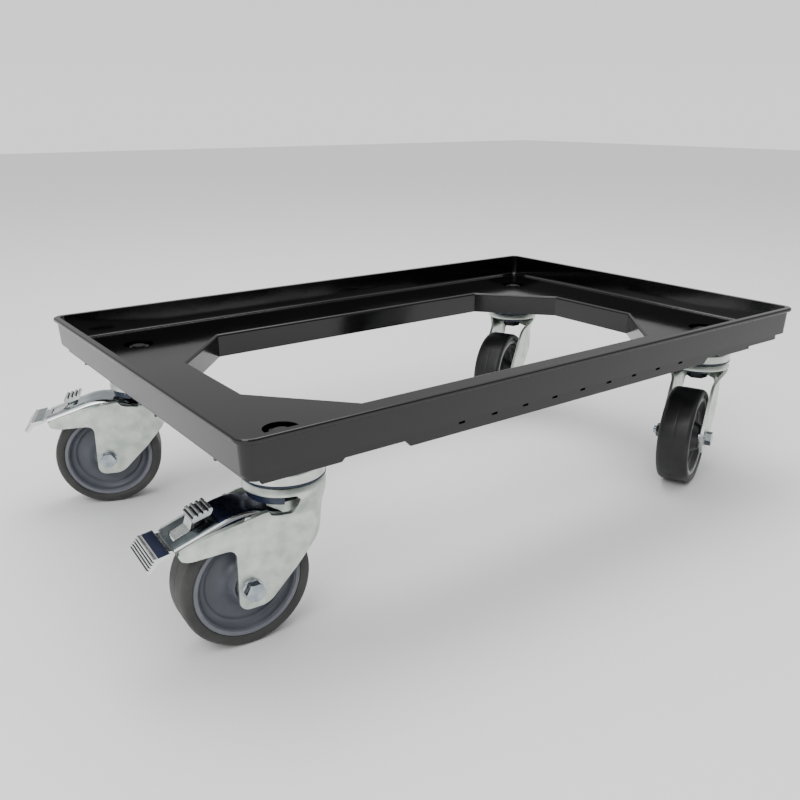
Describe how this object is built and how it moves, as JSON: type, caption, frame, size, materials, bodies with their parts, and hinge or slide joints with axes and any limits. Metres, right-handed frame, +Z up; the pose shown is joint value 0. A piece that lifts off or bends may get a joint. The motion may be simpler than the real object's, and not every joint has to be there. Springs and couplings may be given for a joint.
{
  "type": "crate transport dolly",
  "caption": "Open-deck plastic dolly for stacking crates, on swivel casters with foot brakes on the rear pair.",
  "frame": {"origin": "on the floor, at the middle of the whole part's footprint at rest (24.481 mm behind the middle of the tray, because the rear pedals stand out behind it)", "axes": "+X to the front, along the tray's length; +Y left; +Z up"},
  "size_m": [0.679, 0.416, 0.183],
  "materials": {
    "frame_plastic": "gloss black moulded ABS",
    "zinc_steel": "pale zinc-plated pressed steel",
    "bright_steel": "bright zinc-plated steel",
    "bolt_steel": "zinc-plated fastener",
    "ball_steel": "polished bearing steel",
    "seal_plastic": "dark blue plastic",
    "grey_tyre": "dark grey thermoplastic rubber",
    "black_tyre": "near-black thermoplastic rubber",
    "grey_core": "mid blue-grey polypropylene",
    "black_core": "black polypropylene"
  },
  "bodies": {
    "tray": {"frame_tray": "frame_plastic", "top_cups": "zinc_steel", "seal_rings": "seal_plastic", "kingpin_sleeves": "zinc_steel", "lower_cups": "bright_steel", "mounting_bolts": "bolt_steel", "mounting_washers": "bolt_steel", "mounting_nuts": "bolt_steel", "upper_balls": "ball_steel", "lower_balls": "ball_steel"},
    "rear_right_fork": {"rear_right_fork": "zinc_steel", "rear_right_axle_tube": "bolt_steel", "rear_right_axle_bolt": "bolt_steel", "rear_right_axle_nut": "bolt_steel", "rear_right_pedal_pin": "bolt_steel"},
    "rear_right_wheel": {"rear_right_tyre": "grey_tyre", "rear_right_wheel_core": "grey_core", "rear_right_bearings": "ball_steel"},
    "rear_right_pedal": {"rear_right_pedal": "bright_steel", "rear_right_pedal_tread": "bright_steel", "rear_right_brake_shoe": "bright_steel"},
    "rear_right_release": {"rear_right_release_tab": "bright_steel"},
    "rear_left_fork": {"rear_left_fork": "zinc_steel", "rear_left_axle_tube": "bolt_steel", "rear_left_axle_bolt": "bolt_steel", "rear_left_axle_nut": "bolt_steel", "rear_left_pedal_pin": "bolt_steel"},
    "rear_left_wheel": {"rear_left_tyre": "grey_tyre", "rear_left_wheel_core": "grey_core", "rear_left_bearings": "ball_steel"},
    "rear_left_pedal": {"rear_left_pedal": "bright_steel", "rear_left_pedal_tread": "bright_steel", "rear_left_brake_shoe": "bright_steel"},
    "rear_left_release": {"rear_left_release_tab": "bright_steel"},
    "front_right_fork": {"front_right_fork": "zinc_steel", "front_right_axle_tube": "bolt_steel", "front_right_axle_bolt": "bolt_steel", "front_right_axle_nut": "bolt_steel"},
    "front_right_wheel": {"front_right_tyre": "black_tyre", "front_right_wheel_core": "black_core", "front_right_bearings": "ball_steel"},
    "front_left_fork": {"front_left_fork": "zinc_steel", "front_left_axle_tube": "bolt_steel", "front_left_axle_bolt": "bolt_steel", "front_left_axle_nut": "bolt_steel"},
    "front_left_wheel": {"front_left_tyre": "black_tyre", "front_left_wheel_core": "black_core", "front_left_bearings": "ball_steel"}
  },
  "joints": [
    {"name": "rear_right_swivel", "type": "hinge", "parent": "tray", "child": "rear_right_fork", "pos_m": [-0.22752, -0.1435, 0.1245], "axis": [0, 0, 1], "continuous": true},
    {"name": "rear_right_wheel_spin", "type": "hinge", "parent": "rear_right_fork", "child": "rear_right_wheel", "pos_m": [-0.26543, -0.14085, 0.05], "axis": [-0.0698, -0.9976, 0], "continuous": true},
    {"name": "rear_right_pedal_press", "type": "hinge", "parent": "rear_right_fork", "child": "rear_right_pedal", "pos_m": [-0.26543, -0.14085, 0.104], "axis": [-0.0698, -0.9976, 0], "range_deg": [0, 8]},
    {"name": "rear_right_release_press", "type": "hinge", "parent": "rear_right_pedal", "child": "rear_right_release", "pos_m": [-0.31181, -0.13761, 0.094], "axis": [-0.0698, -0.9976, 0], "range_deg": [-6, 0], "stiffness_Nm_per_rad": 0.05, "springref_deg": 17.19},
    {"name": "rear_left_swivel", "type": "hinge", "parent": "tray", "child": "rear_left_fork", "pos_m": [-0.22752, 0.1435, 0.1245], "axis": [0, 0, 1], "continuous": true},
    {"name": "rear_left_wheel_spin", "type": "hinge", "parent": "rear_left_fork", "child": "rear_left_wheel", "pos_m": [-0.26275, 0.15773, 0.05], "axis": [-0.3746, -0.9272, 0], "continuous": true},
    {"name": "rear_left_pedal_press", "type": "hinge", "parent": "rear_left_fork", "child": "rear_left_pedal", "pos_m": [-0.26275, 0.15773, 0.104], "axis": [-0.3746, -0.9272, 0], "range_deg": [0, 8]},
    {"name": "rear_left_release_press", "type": "hinge", "parent": "rear_left_pedal", "child": "rear_left_release", "pos_m": [-0.30587, 0.17515, 0.094], "axis": [-0.3746, -0.9272, 0], "range_deg": [-6, 0], "stiffness_Nm_per_rad": 0.05, "springref_deg": 17.19},
    {"name": "front_right_swivel", "type": "hinge", "parent": "tray", "child": "front_right_fork", "pos_m": [0.27648, -0.1435, 0.1245], "axis": [0, 0, 1], "continuous": true},
    {"name": "front_right_wheel_spin", "type": "hinge", "parent": "front_right_fork", "child": "front_right_wheel", "pos_m": [0.2415, -0.15835, 0.05], "axis": [0.3907, -0.9205, 0], "continuous": true},
    {"name": "front_left_swivel", "type": "hinge", "parent": "tray", "child": "front_left_fork", "pos_m": [0.27648, 0.1435, 0.1245], "axis": [0, 0, 1], "continuous": true},
    {"name": "front_left_wheel_spin", "type": "hinge", "parent": "front_left_fork", "child": "front_left_wheel", "pos_m": [0.24204, 0.12744, 0.05], "axis": [0.4226, -0.9063, 0], "continuous": true}
  ]
}
